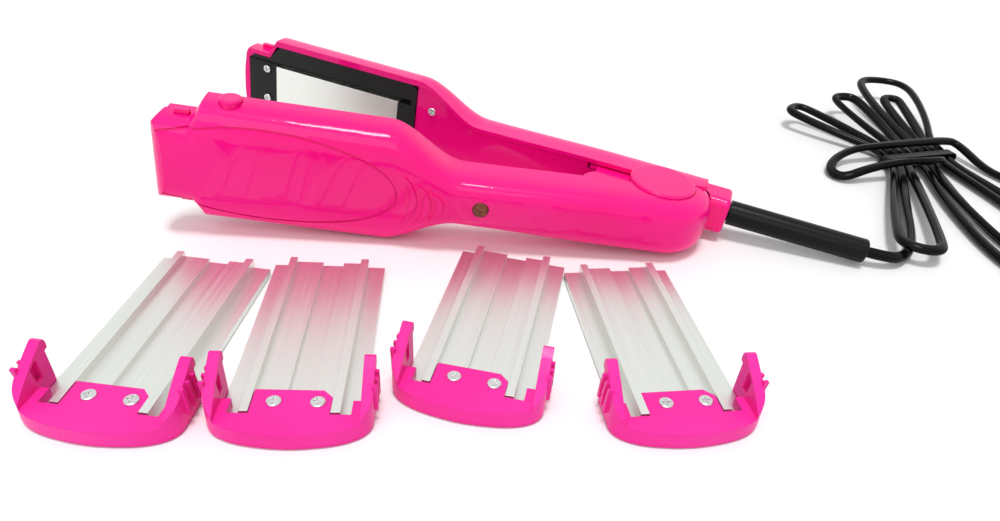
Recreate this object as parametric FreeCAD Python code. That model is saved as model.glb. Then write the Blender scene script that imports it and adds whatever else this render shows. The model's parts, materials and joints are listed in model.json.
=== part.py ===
import FreeCAD, Part

import math
import os

# Hair crimper lying open on a table, with its four slide-on crimping plates beside it.
# Millimetres. +Z is up, the tips point to -X, the table is z = 0.

# Placing of the tool: hinge axis, turn on the table, nose-up tilt and half of the opening angle
HINGE_X = 67.29
HINGE_Y = 41.23
HINGE_HEIGHT = 17.72
TURN_DEG = 6.41
TILT_DEG = 5.28
HALF_OPEN_DEG = 9.13

# Both arms are measured along the arm from the hinge axis, out from the closing plane, and across
RIM = 4.2
HANDLE_HALF = 13.2
HINGE_END_HALF = 14.5
PADDLE_HALF = 30.2
NOTCH_HALF = 22.0
HANDLE_TOP = 26.8
PADDLE_TOP = 24.0
HANDLE_START = 24.0
WAIST_START = 100.5
WAIST_END = 137.5
TIP = 245.3
NOTCH_START = TIP - 23.7
NOTCH_END = NOTCH_START + 5.0
TIP_BULGE = 1.3
TIP_CORNER = 7.2
TIP_SOLID = TIP - 5.5
SIDE_WALL = 2.4
PADDLE_SIDE_WALL = 3.2
TOP_WALL = 2.4
TAIL = 22.0
TIP_RIM = 9.0
NOTCH_RIM = 4.7
POCKET_HALF = NOTCH_HALF - PADDLE_SIDE_WALL + 0.8
TIP_RIM_START = TIP - 6.1
TIP_CORNER_START = TIP - 9.3

# Hinge
BARREL_R = 26.8
SEAM_DEG = 94.7
SEAM_GAP = 0.15
EAR_R = 16.2
EAR_INNER = 8.5
EAR_OUTER = 13.2
LENS_TOP = 11.2
KNUCKLE_R = 7.5
KNUCKLE_HALF = 7.9
SLEEVE_R = 4.6
WEB_HALF = 5.0
PIN_R = 3.0
PIN_HALF = 12.6
PIN_FIT = 0.05
CAP_R = 16.7
CAP_THICK = 2.6
CAP_ROUND = 1.2
WASHER_R = 6.6
WASHER_THICK = 0.5
RUNNING_GAP = 0.3

# Hinge spring
SPRING_WIRE = 1.3
SPRING_R = 5.7
SPRING_TURNS = 4
SPRING_PITCH = 1.62
SPRING_END_GAP = 0.15

# Heater frame, heater plate and what lies behind it
FRAME_FACE = 4.6
FRAME_START = WAIST_END
FRAME_END = TIP - 3.5
FRAME_FIT = 0.2
FRAME_LAND = 2.0
FRAME_BACK = 10.6
SLOT_IN = 14.7
SLOT_OUT = 18.2
SLOT_FLOOR = 9.6
CHANNEL_WALL = 2.0
HEATER_LONG = 75.0
HEATER_END = TIP - 22.0
HEATER_START = HEATER_END - HEATER_LONG
HEATER_HALF = 14.4
HEATER_FACE = 6.7
HEATER_GAP = 0.3
HEATER_FLANGE = 16.5
HEATER_FLANGE_THICK = 1.2
ELEMENT_THICK = 2.5
MICA_THICK = 0.6
CLAMP_THICK = 1.0
POST_R = 2.6
POSTS_ALONG = (HEATER_START + 15.7, HEATER_END - 17.3)
CUTOUT_ALONG = 0.5 * (POSTS_ALONG[0] + POSTS_ALONG[1])
CUTOUT_LONG = 16.0
CUTOUT_WIDE = 7.0
CUTOUT_THICK = 3.6
LEAD_R = 1.1
LEAD_BESIDE_POST = 4.6
LEAD_BEND_SHARE = 0.4
FRAME_SCREW_ALONG = HEATER_END + 7.0
FRAME_SCREWS_ACROSS = (11.0, -6.4)
COVER_SCREW_INSET = 9.6
COVER_SCREW_FROM_WALL = 9.4
NEAR_COVER_START = 45.5
FAR_COVER_START = 39.5
COVER_TONGUE_START = 27.0
COVER_TONGUE_GAP = 0.4
COVER_FACE = 5.4
COVER_THICK = 1.6
SCREW_HEAD_R = 2.2
SCREW_SHAFT_R = 1.3
SCREW_RECESS_R = 2.9
SCREW_LONG = 9.0
SCREW_HEAD_HIGH = 1.3
CROSS_HALF = 0.35
BOSS_R = 3.2

# Release button with its latch tooth, and the fixed tooth on the other side
BUTTON_ALONG = NOTCH_START - 12.1
BUTTON_OUT = 11.2
BUTTON_LONG = 10.0
BUTTON_HIGH = 11.4
BUTTON_PROUD = 2.0
BUTTON_GAP = 0.2
BUTTON_TRAVEL = 1.5
BUTTON_FLANGE = 1.2
TOOTH_START = NOTCH_END + 1.4
TOOTH_END = TOOTH_START + 6.5
TOOTH_LOW = 11.0
TOOTH_HIGH = 13.6
TOOTH_PROUD = 1.8
BUTTON_SPRING_R = 2.1
BUTTON_SPRING_WIRE = 0.5
BUTTON_SPRING_TURNS = 4

# Grip relief on the outer face of each paddle
GROOVE_WIDE = 0.9
GROOVE_DEEP = 0.5
RIDGE_HIGH = 0.9
PANEL_START = 129.6

# Pilot lamp on the near arm
LAMP_ALONG = 90.2
LENS_R = 4.0
LAMP_R = 2.6
LAMP_LONG = 10.0

# Cord block and swivelling strain relief on the far arm
BLOCK_END = 36.0
BLOCK_HALF = 10.0
BLOCK_LOW = 8.2
BLOCK_HIGH = 27.4
BLOCK_ROUND = 4.2
BLOCK_END_ROUND = 2.0
BLOCK_WALL = 2.6
RELIEF_OUT = 18.2
RELIEF_NECK_R = 4.6
RELIEF_COLLAR_R = 7.2
RELIEF_COLLAR_THICK = 3.4
RELIEF_START = 37.0
RELIEF_END = 107.5
RELIEF_R = 6.5
RELIEF_END_R = 6.25
RELIEF_HOLE_R = 2.1
RELIEF_GRIP = 4.0

# Crimping plates: place from the hinge axis on the table, turn, and number of waves
PLATE_SPOTS = (
    ("plate_a", -212.2, -158.0, -3.35, 16),
    ("plate_b", -147.2, -153.1, 4.76, 16),
    ("plate_c", -85.8, -134.2, -8.70, 5),
    ("plate_d", -4.1, -137.5, 10.55, 5),
)
PLATE_HALF = 25.0
PLATE_LONG = 98.0
PLATE_UNDER_HOLDER = 2.0
WAVE_DEEP = 1.4
FLANGE_TOP = 3.4
PLATFORM = 2.1
CHANNEL = 0.3
RAIL_HIGH = 4.65
RAIL_LEFT = (-17.72, -14.51)
RAIL_RIGHT = (14.33, 17.75)
CHANNEL_ACROSS = (-2.99, 6.23)
HOLDER_TOP = 7.5
HOLDER_LOW = 0.6
HOLDER_HALF = 29.4
HOLDER_FRONT = 11.2
TONGUE_LONG = 11.5
TONGUE_CHAMFER = 3.5
TONGUE_GAP = 0.25
TAB_INNER = 21.6
TAB_LONG = 6.5
FIN_BACK = 15.6
FIN_HIGH = 22.8
POCKET_DEEP = 2.2
RIB_PROUD = 1.3
PLATE_SCREW_ALONG = 5.14
PLATE_SCREWS_ACROSS = (-6.42, 9.21)
PLATE_SCREW_HEAD_R = 2.8
PLATE_SCREW_HEAD_HIGH = 0.9

# Power cord: a tied hank lies behind the strain relief, its far lobes fanned out and its near lobes loose.
# Its points are measured on the table from the hinge axis.
CORD_R = 2.9
CORD_FIT = 0.1
HANK_X = 190.4
HANK_Y = 124.5
HANK_SLOTS = 8
SLOT_STEP = 6.9
SLOT_TURN_DEG = 20.0
WAIST_LONG = 12.0
WRAP_OFFSET = 6.5
WRAP_HEIGHT = 10.4
WAIST_HEIGHT = 4.1
TIE_OFFSET = -6.0
TIE_WIDE = 6.0
TIE_THICK = 0.8
TIE_FIT = 0.15
# Each lobe of the hank: slots at the waist that it joins, its tip, and its width
LOBES = (
    (1, 0, (121.4, 173.0, 12.5), 17.0),
    (0, 2, (138.4, -6.5, 9.4), 21.6),
    (2, 3, (166.0, 202.0, 13.0), 18.0),
    (3, 7, (214.0, -22.0, 3.0), 56.0),
    (7, 4, (207.4, 240.0, 15.0), 38.0),
    (4, 6, (212.4, 4.0, 3.0), 32.0),
    (6, 5, (203.4, 207.0, 13.0), 12.0),
)
CORD_STRAIGHT = 16.5
CORD_ROUTE = ((131.5, -6.3, 4.0), (140.9, 8.0, 3.0), (148.4, 27.5, 3.0), (154.6, 47.5, 3.0))
CROSS_ROUTE = ((198.4, 104.0, 11.0), (186.4, 99.0, 12.0), (165.0, 94.0, 12.0), (145.0, 88.0, 8.5),
               (130.0, 83.0, 3.5), (124.0, 91.0, 3.2), (129.0, 104.0, 5.0), (142.0, 114.0, 8.5))
HANK_LEAVE = (226.4, 132.0, 7.2)
HANK_LEAVE_WAY = (0.05, -0.97, -0.25)
TAIL_ROUTE = ((232.4, 115.0, 3.0), (239.0, 101.4, 3.0), (247.9, 88.0, 3.0), (257.9, 77.0, 4.2),
              (264.9, 66.0, 6.6), (269.4, 55.0, 6.6))
BEND_SHARE = 0.45

# Plug, lying on its flat side
PLUG_LONG = 24.0
PLUG_WIDE = 22.0
PLUG_THICK = 13.2
PLUG_SLEEVE = 16.0
PLUG_SLEEVE_R = 5.4
PLUG_SLEEVE_END_R = 3.7
BLADE_LONG = 17.0
BLADE_HIGH = 6.4
BLADE_THICK = 1.5
BLADE_SPREAD = 12.7

V = FreeCAD.Vector
X_AXIS = V(1, 0, 0)
Y_AXIS = V(0, 1, 0)
Z_AXIS = V(0, 0, 1)


def ease(value, low, high):
    share = min(max((value - low) / (high - low), 0.0), 1.0)
    return share * share * (3.0 - 2.0 * share)


def at(along, out, across):
    return V(-along, out, across)


def block(along, out, across):
    corner = V(-along[1], out[0], across[0])
    return Part.makeBox(along[1] - along[0], out[1] - out[0], across[1] - across[0], corner)


def face_of(points):
    return Part.Face(Part.makePolygon(points + [points[0]]))


def mirrored(half):
    """The same (along, across) points on the other side, in reverse order."""
    return [(a, -c) for a, c in reversed(half)]


def plan_prism(points, low, high):
    """Solid over an outline of (along, across) points, between two distances from the closing plane."""
    return face_of([at(a, low, c) for a, c in points]).extrude(V(0, high - low, 0))


def side_prism(points, low, high):
    """Solid over an outline of (along, out) points, between two places across the arm."""
    return face_of([at(a, o, low) for a, o in points]).extrude(V(0, 0, high - low))


def rod(radius, along, across, low, high):
    return Part.makeCylinder(radius, high - low, at(along, low, across), Y_AXIS)


def upright(radius, low, high, along=0.0, out=0.0):
    return Part.makeCylinder(radius, high - low, at(along, out, low), Z_AXIS)


def fuse(shapes):
    joined = shapes[0]
    for shape in shapes[1:]:
        joined = joined.fuse(shape)
    return joined.removeSplitter()


# Section of an arm: a flat mouth at the rim, soft shoulders and a gently crowned outer face
def paddle_share(along):
    return ease(along, WAIST_START, WAIST_END)


def half_width(along):
    handle = HINGE_END_HALF - (HINGE_END_HALF - HANDLE_HALF) * ease(along, HANDLE_START, WAIST_START)
    return handle + (PADDLE_HALF - HANDLE_HALF) * paddle_share(along)


def side_wall(along):
    return SIDE_WALL + (PADDLE_SIDE_WALL - SIDE_WALL) * paddle_share(along)


def outer_height(along):
    return HANDLE_TOP - (HANDLE_TOP - PADDLE_TOP) * paddle_share(along)


def section_points(along, half, top, low=RIM):
    side_power = 2.0 / (4.0 + 1.0 * paddle_share(along))
    crown_power = 2.0 / (4.6 - 1.4 * paddle_share(along))
    points = []
    steps = 22
    for step in range(steps + 1):
        turn = math.pi * step / steps
        across = half * math.copysign(abs(math.cos(turn)) ** side_power, math.cos(turn))
        if step in (0, steps):
            out = low
        else:
            out = low + (top - low) * math.sin(turn) ** crown_power
        points.append((across, out))
    return points


def arch(along, half, top, back=False):
    """Curved edge of a section, with its first and last points."""
    points = [at(along, out, across) for across, out in section_points(along, half, top)]
    if back:
        points.reverse()
    curve = Part.BSplineCurve()
    curve.interpolate(points)
    return curve.toShape(), points[0], points[-1]


def band_wire(along, half, outside, inside, top_inside):
    """U-shaped section between two arches, outside and inside the arm's nominal face."""
    top = outer_height(along)
    outer, start, end = arch(along, half + outside, top + outside)
    inner, inner_start, inner_end = arch(along, half - inside, top - top_inside, back=True)
    return Part.Wire([outer, Part.makeLine(end, inner_start), inner, Part.makeLine(inner_end, start)])


def wall_wire(along, half):
    return band_wire(along, half, 0.0, side_wall(along), TOP_WALL)


def groove_wire(along, half):
    return band_wire(along, half, 1.5, GROOVE_DEEP, GROOVE_DEEP)


def ridge_wire(along, half):
    return band_wire(along, half, RIDGE_HIGH, 1.0, 1.0)


def full_wire(along, half):
    outer, start, end = arch(along, half, outer_height(along))
    return Part.Wire([outer, Part.makeLine(end, start)])


def smooth_run(start, end, count, wire):
    """Loft through evenly spaced sections."""
    stations = [start + (end - start) * step / count for step in range(count + 1)]
    return Part.makeLoft([wire(s, half_width(s)) for s in stations], True, False)


def straight_run(start, end, half, wire):
    return Part.Face(wire(start, half)).extrude(V(start - end, 0, 0))


def arm_spans(wire):
    """The arm as lofts end to end: handle, waist, paddle, the step at the notches, narrow end."""
    return [
        smooth_run(HANDLE_START, WAIST_START, 6, wire),
        smooth_run(WAIST_START, WAIST_END, 11, wire),
        straight_run(WAIST_END, NOTCH_START, PADDLE_HALF, wire),
        Part.makeLoft([wire(NOTCH_START, PADDLE_HALF), wire(NOTCH_END, NOTCH_HALF)], True, True),
        straight_run(NOTCH_END, TIP_SOLID, NOTCH_HALF, wire),
    ]


def tip_trim():
    """What rounds the tip: a bulged end with round corners seen from outside, and a rolled-over edge."""
    corner = TIP - TIP_BULGE
    low = -5.0
    edges = [
        Part.Arc(at(corner - TIP_CORNER - 1.0, low, NOTCH_HALF + 0.9),
                 at(corner - 0.31 * TIP_CORNER, low, NOTCH_HALF - 0.2 * TIP_CORNER),
                 at(corner, low, NOTCH_HALF - TIP_CORNER)).toShape(),
        Part.Arc(at(corner, low, NOTCH_HALF - TIP_CORNER), at(TIP, low, 0.0),
                 at(corner, low, TIP_CORNER - NOTCH_HALF)).toShape(),
        Part.Arc(at(corner, low, TIP_CORNER - NOTCH_HALF),
                 at(corner - 0.31 * TIP_CORNER, low, 0.2 * TIP_CORNER - NOTCH_HALF),
                 at(corner - TIP_CORNER - 1.0, low, -NOTCH_HALF - 0.9)).toShape(),
    ]
    finish = at(corner - TIP_CORNER - 1.0, low, -NOTCH_HALF - 0.9)
    far_low = at(TIP + 20.0, low, -60.0)
    far_high = at(TIP + 20.0, low, 60.0)
    start = at(corner - TIP_CORNER - 1.0, low, NOTCH_HALF + 0.9)
    side_low = V(finish.x, low, -60.0)
    side_high = V(start.x, low, 60.0)
    for a, b in ((finish, side_low), (side_low, far_low), (far_low, far_high),
                 (far_high, side_high), (side_high, start)):
        edges.append(Part.makeLine(a, b))
    outline = Part.Face(Part.Wire(edges)).extrude(V(0, 60, 0))

    curve = Part.BSplineCurve()
    curve.interpolate([at(TIP - 1.0, -5.0, -60.0), at(TIP - 0.9, RIM, -60.0), at(TIP, 11.0, -60.0),
                       at(TIP - 0.5, 15.5, -60.0), at(TIP - 2.0, 19.0, -60.0),
                       at(TIP - 4.7, 22.3, -60.0), at(TIP - 10.5, PADDLE_TOP + 0.7, -60.0)])
    ends = [at(TIP - 10.5, PADDLE_TOP + 0.7, -60.0), at(TIP - 10.5, 60.0, -60.0),
            at(TIP + 20.0, 60.0, -60.0), at(TIP + 20.0, -5.0, -60.0), at(TIP - 1.0, -5.0, -60.0)]
    edges = [curve.toShape()] + [Part.makeLine(a, b) for a, b in zip(ends, ends[1:])]
    roll = Part.Face(Part.Wire(edges)).extrude(V(0, 0, 120))
    return outline, roll


def barrel():
    """The rounded rear end of the near arm: its wall section turned about the hinge axis."""
    half = HINGE_END_HALF
    inner_half = half - SIDE_WALL
    outer, start, end = arch(0.0, half, BARREL_R)
    inner, inner_start, inner_end = arch(0.0, inner_half, BARREL_R - TOP_WALL, back=True)
    corners = [end, V(0, 0, -half), V(0, 0, -inner_half), inner_start]
    edges = [outer] + [Part.makeLine(a, b) for a, b in zip(corners, corners[1:])] + [inner]
    corners = [inner_end, V(0, 0, inner_half), V(0, 0, half), start]
    edges += [Part.makeLine(a, b) for a, b in zip(corners, corners[1:])]
    return Part.Face(Part.Wire(edges)).revolve(V(0, 0, 0), V(0, 0, -1), SEAM_DEG)


def groove_ring(inset):
    """Outline of the grip panel, drawn in by inset: round at the waist and open over the tip."""
    half = [(TIP + 8.0, 14.2 - inset), (NOTCH_END, 19.3 - inset), (NOTCH_START - 11.6, 22.4 - inset),
            (PANEL_START + 53.4, 23.2 - inset), (PANEL_START + 28.4, 19.6 - inset),
            (PANEL_START + 11.9 + 0.5 * inset, 14.0 - inset), (PANEL_START + 3.2 + inset, 7.6 - 0.6 * inset),
            (PANEL_START + inset, 0.0)]
    points = half + [(a, -c) for a, c in half[-2::-1]]
    curve = Part.BSplineCurve()
    curve.interpolate([at(a, 0.0, c) for a, c in points])
    closing = Part.makeLine(at(points[-1][0], 0.0, points[-1][1]), at(points[0][0], 0.0, points[0][1]))
    return Part.Face(Part.Wire([curve.toShape(), closing])).extrude(V(0, 40, 0))


def crescent(crest, reach):
    """One finger ridge of the grip: a thin crescent, bulging towards the hinge."""
    low = at(crest + 5.0, 10.0, 2.0 - reach)
    high = at(crest + 5.0, 10.0, 2.0 + reach)
    outer = Part.Arc(low, at(crest - 1.6, 10.0, 2.0), high).toShape()
    inner = Part.Arc(high, at(crest + 1.9, 10.0, 2.0), low).toShape()
    return Part.Face(Part.Wire([outer, inner])).extrude(V(0, 30, 0))


# Crest and half reach of each finger ridge
RIDGES = ((PANEL_START - 7.4, 13.0), (PANEL_START - 14.2, 10.0), (PANEL_START - 20.4, 7.0))


def shell_body():
    """Hollow arm moulding with its bosses, posts and fixed tooth, without its hinge end."""
    spans = arm_spans(wall_wire)
    spans.append(straight_run(TIP_SOLID, TIP + 4.0, NOTCH_HALF, full_wire))
    shell = fuse(spans)
    for trim in tip_trim():
        shell = shell.cut(trim)
    ring = groove_ring(0.0).cut(groove_ring(GROOVE_WIDE))
    for band in arm_spans(groove_wire)[1:]:
        shell = shell.cut(ring.common(band))
    ridge_band = arm_spans(ridge_wire)[1]
    for crest, reach in RIDGES:
        shell = shell.fuse(crescent(crest, reach).common(ridge_band))
    wide = POCKET_HALF
    half = [(NOTCH_END - 1.6, NOTCH_HALF - 3.0), (NOTCH_END, wide), (TIP_CORNER_START, wide),
            (FRAME_END + FRAME_FIT, SLOT_IN + 0.3)]
    pocket = plan_prism(half + mirrored(half), 1.0, FRAME_BACK + 0.6)
    shell = shell.cut(pocket)

    roof = PADDLE_TOP - TOP_WALL + 0.6
    extras = []
    for across in FRAME_SCREWS_ACROSS:
        extras.append(rod(BOSS_R, FRAME_SCREW_ALONG, across, FRAME_BACK, roof))
    for across in COVER_SCREWS_ACROSS:
        extras.append(rod(BOSS_R, COVER_SCREW_ALONG, across, COVER_FACE + COVER_THICK, roof - 1.0))
    for along in POSTS_ALONG:
        extras.append(rod(POST_R, along, 0.0, CLAMP_BACK, roof))
    shell = fuse([shell] + extras)
    for across in FRAME_SCREWS_ACROSS:
        shell = shell.cut(rod(SCREW_SHAFT_R, FRAME_SCREW_ALONG, across, 0.0, DECK + SCREW_LONG))
    for across in COVER_SCREWS_ACROSS:
        shell = shell.cut(rod(SCREW_SHAFT_R, COVER_SCREW_ALONG, across, 0.0, COVER_FACE + SCREW_LONG))

    # The rim steps down around the tip, where a plate's holder sits
    shell = shell.cut(block((TIP_RIM_START, TIP + 9.0), (-6.0, TIP_RIM), (-40.0, 40.0)))
    shell = shell.cut(block((NOTCH_START, TIP_RIM_START + 1.0), (-6.0, NOTCH_RIM), (-40.0, 40.0)))

    # Button hole, latch slot and the fixed tooth
    hole_long = BUTTON_LONG + 2 * BUTTON_GAP
    hole_high = BUTTON_HIGH + 2 * BUTTON_GAP
    shell = shell.cut(oval(hole_long, hole_high, -40.0, -PADDLE_HALF + 6.0))
    shell = shell.cut(block((TOOTH_START - 0.4, TOOTH_END + 0.4), (TOOTH_LOW - 0.4, TOOTH_HIGH + 0.4),
                            (-NOTCH_HALF - 3.0, -NOTCH_HALF + PADDLE_SIDE_WALL + 1.0)))
    tooth = side_prism([(TOOTH_START, TOOTH_LOW), (TOOTH_END, TOOTH_LOW), (TOOTH_END, TOOTH_HIGH),
                        (TOOTH_START, TOOTH_HIGH)], NOTCH_HALF - 1.5, NOTCH_HALF + TOOTH_PROUD)
    return fuse([shell, tooth])


def oval(long, high, low, top):
    """Oval prism across the arm at the button's place."""
    radius = 0.5 * long
    reach = 0.5 * high - radius
    out = (BUTTON_OUT - reach, BUTTON_OUT + reach)
    middle = block((BUTTON_ALONG - radius, BUTTON_ALONG + radius), out, (low, top))
    ends = [upright(radius, low, top, BUTTON_ALONG, BUTTON_OUT + side) for side in (-reach, reach)]
    return fuse([middle] + ends)


COVER_SCREW_ALONG = FRAME_START - COVER_SCREW_INSET
COVER_SCREW_ACROSS = half_width(COVER_SCREW_ALONG) - side_wall(COVER_SCREW_ALONG) - COVER_SCREW_FROM_WALL
COVER_SCREWS_ACROSS = (COVER_SCREW_ACROSS, -COVER_SCREW_ACROSS)
BUTTON_SEAT = PADDLE_SIDE_WALL + 1.2 - PADDLE_HALF
DECK = FRAME_FACE + RAIL_HIGH - 0.25
FLANGE_BACK = FRAME_BACK + HEATER_FLANGE_THICK
ELEMENT_BACK = FLANGE_BACK + ELEMENT_THICK
MICA_BACK = ELEMENT_BACK + MICA_THICK
CLAMP_BACK = MICA_BACK + CLAMP_THICK


def make_near_shell(body):
    """Near arm: the body with its turned hinge end, the ears and caps' seats and the lamp hole."""
    parts = [body, straight_run(0.0, HANDLE_START, HINGE_END_HALF, wall_wire), barrel()]
    for side in (1, -1):
        low, high = sorted((side * EAR_INNER, side * EAR_OUTER))
        parts.append(upright(EAR_R, low, high))
        low, high = sorted((side * EAR_INNER, side * LENS_TOP))
        lens = Part.BSplineCurve()
        lens.interpolate([at(44.0, 8.0, low), at(41.5, 1.0, low), at(37.0, -6.2, low), at(30.5, -9.3, low),
                          at(22.0, -9.8, low), at(10.0, -9.0, low)])
        edges = [lens.toShape(), Part.makeLine(at(10.0, -9.0, low), at(10.0, 18.0, low)),
                 Part.makeLine(at(10.0, 18.0, low), at(44.0, 18.0, low)),
                 Part.makeLine(at(44.0, 18.0, low), at(44.0, 8.0, low))]
        plate = Part.Face(Part.Wire(edges)).extrude(V(0, 0, high - low))
        parts.append(plate)
        low, high = sorted((side * EAR_INNER, side * (HINGE_END_HALF - 1.0)))
        parts.append(block((18.0, 43.0), (9.0, 17.0), (low, high)))
    shell = fuse(parts)
    for side in (1, -1):
        low, high = sorted((side * EAR_OUTER, side * 30.0))
        shell = shell.cut(upright(CAP_R + 0.3, low, high))
    shell = shell.cut(upright(PIN_R, -40.0, 40.0))
    shell = shell.cut(rod(LENS_R, LAMP_ALONG, 0.0, 15.0, 40.0))
    return shell


def make_far_shell(body):
    """Far arm: the body with its tail behind the near arm's barrel, and the knuckle on the hinge pin."""
    shell = fuse([body, straight_run(-TAIL, HANDLE_START, HINGE_END_HALF, wall_wire)])
    seam = SEAM_DEG - 90.0 + 2.0 * HALF_OPEN_DEG
    seam += math.degrees(SEAM_GAP / BARREL_R)
    reach = 70.0
    wedge = side_prism([(0.0, 0.0), (0.0, -reach), (-reach, -reach),
                        (-reach * math.cos(math.radians(seam)), reach * math.sin(math.radians(seam)))],
                       -40.0, 40.0)
    shell = shell.cut(wedge)
    for side in (1, -1):
        low, high = sorted((side * (EAR_INNER - RUNNING_GAP), side * 40.0))
        shell = shell.cut(upright(CAP_R + RUNNING_GAP, low, high))
    knuckle = upright(KNUCKLE_R, -KNUCKLE_HALF, 0.0).fuse(upright(SLEEVE_R, 0.0, KNUCKLE_HALF))
    web = block((-WEB_HALF, WEB_HALF), (2.0, HANDLE_TOP - TOP_WALL + 0.5), (-KNUCKLE_HALF, -0.5))
    shell = fuse([shell, knuckle, web])
    shell = shell.cut(upright(PIN_R + PIN_FIT, -40.0, 40.0))
    return shell


def heater_frame():
    """Black carrier around the heater plate, with a slot each side for a crimping plate's rails."""
    inner = PADDLE_HALF - PADDLE_SIDE_WALL - FRAME_FIT
    tip_inner = POCKET_HALF - FRAME_FIT
    tip_end = tip_inner - 2.6
    channel = SLOT_OUT + CHANNEL_WALL
    tip = [(NOTCH_END - 0.4, tip_inner), (TIP_CORNER_START, tip_inner), (TIP_RIM_START, tip_end)]
    half = [(FRAME_START, inner - 2.2), (FRAME_START + 3.5, inner), (NOTCH_START - 1.6, inner)] + tip
    lands = plan_prism(half + mirrored(half), FRAME_FACE, FRAME_FACE + FRAME_LAND)
    half = [(FRAME_START + 2.0, channel), (NOTCH_START, channel)] + tip
    core = plan_prism(half + mirrored(half), FRAME_FACE + 0.5, FRAME_BACK)
    half = [(TIP_CORNER_START - 0.8, tip_inner - 2.4), (TIP_CORNER_START, tip_inner - 0.3),
            (FRAME_END, SLOT_IN)]
    deck = plan_prism(half + mirrored(half), DECK, FRAME_BACK)
    seat = block((BUTTON_ALONG - 4.0, BUTTON_ALONG + 4.0), (FRAME_FACE + FRAME_LAND, BUTTON_OUT + 4.0),
                 (-channel, -SLOT_OUT - 0.2))
    hook = block((FRAME_START - 6.0, FRAME_START + 3.0),
                 (COVER_FACE + COVER_THICK + 0.1, COVER_FACE + COVER_THICK + 1.8), (-8.0, 8.0))
    frame = fuse([lands, core, deck, seat, hook])
    opening = HEATER_HALF + HEATER_GAP
    window = block((HEATER_START - HEATER_GAP, HEATER_END + HEATER_GAP), (0.0, 30.0), (-opening, opening))
    frame = frame.cut(window)
    for low, high in ((SLOT_IN, SLOT_OUT), (-SLOT_OUT, -SLOT_IN)):
        frame = frame.cut(block((HEATER_START - 8.0, TIP), (0.0, SLOT_FLOOR), (low, high)))
    frame = frame.cut(block((HEATER_END + HEATER_GAP, TIP), (0.0, DECK), (-SLOT_OUT, SLOT_OUT)))
    frame = frame.cut(block((BUTTON_ALONG - 6.4, BUTTON_ALONG + 6.4), (0.0, FRAME_BACK),
                            (-40.0, BUTTON_SEAT + BUTTON_TRAVEL + 0.3)))
    for across in FRAME_SCREWS_ACROSS:
        frame = frame.cut(rod(SCREW_SHAFT_R + 0.2, FRAME_SCREW_ALONG, across, 0.0, 30.0))
    return frame


def heater_plate():
    pad = block((HEATER_START, HEATER_END), (HEATER_FACE, FLANGE_BACK), (-HEATER_HALF, HEATER_HALF))
    across = (-HEATER_FLANGE, HEATER_FLANGE)
    flange = block((HEATER_START - 2.0, HEATER_END + 1.6), (FRAME_BACK, FLANGE_BACK), across)
    return fuse([pad, flange])


def heater_element():
    return block((HEATER_START + 4.0, HEATER_END - 4.0), (FLANGE_BACK, ELEMENT_BACK), (-11.0, 11.0))


def heater_mica():
    return block((HEATER_START + 2.0, HEATER_END - 2.0), (ELEMENT_BACK, MICA_BACK), (-12.5, 12.5))


def heater_clamp():
    return block((HEATER_START + 6.0, HEATER_END - 6.0), (MICA_BACK, CLAMP_BACK), (-7.0, 7.0))


def thermal_cutout():
    half = 0.5 * CUTOUT_LONG
    case = block((CUTOUT_ALONG - half, CUTOUT_ALONG + half), (CLAMP_BACK, CLAMP_BACK + CUTOUT_THICK),
                 (-0.5 * CUTOUT_WIDE, 0.5 * CUTOUT_WIDE))
    return case


def inner_cover(start):
    """Flat cover that closes the hollow handle on the inside, with a tongue between the hinge's ears."""
    edge_gap = FRAME_FIT + 0.15
    end = FRAME_START - 0.3
    steps = 30
    stations = [start + (end - start) * step / steps for step in range(steps + 1)]
    upper = [(s, half_width(s) - side_wall(s) - edge_gap) for s in stations]
    lower = [(a, -c) for a, c in reversed(upper)]
    cover = plan_prism(upper + lower, COVER_FACE, COVER_FACE + COVER_THICK)
    tongue = EAR_INNER - COVER_TONGUE_GAP
    level = (COVER_FACE, COVER_FACE + COVER_THICK)
    cover = fuse([cover, block((COVER_TONGUE_START, start + 1.0), level, (-tongue, tongue))])
    for across in COVER_SCREWS_ACROSS:
        cover = cover.cut(rod(SCREW_SHAFT_R + 0.2, COVER_SCREW_ALONG, across, 0.0, 30.0))
    return cover


def small_screw(along, across, seat, head_r=SCREW_HEAD_R, long=SCREW_LONG):
    """Pan head screw with a cross recess, its head standing on the closing side of its seat."""
    head = rod(head_r, along, across, seat - SCREW_HEAD_HIGH, seat)
    rim = [e for e in head.Edges if e.Closed and abs(e.CenterOfMass.y - seat + SCREW_HEAD_HIGH) < 0.01]
    head = head.makeFillet(0.6, rim)
    shaft = rod(SCREW_SHAFT_R, along, across, seat - 0.5, seat + long - 0.6)
    screw = fuse([head, shaft])
    slot = 0.62 * head_r
    depth = (seat - SCREW_HEAD_HIGH - 0.2, seat - 0.6)
    for wide, tall in ((slot, CROSS_HALF), (CROSS_HALF, slot)):
        screw = screw.cut(block((along - wide, along + wide), depth, (across - tall, across + tall)))
    return screw


def frame_screws():
    return Part.makeCompound([small_screw(FRAME_SCREW_ALONG, c, DECK) for c in FRAME_SCREWS_ACROSS])


def cover_screws():
    return Part.makeCompound([small_screw(COVER_SCREW_ALONG, c, COVER_FACE) for c in COVER_SCREWS_ACROSS])


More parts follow.
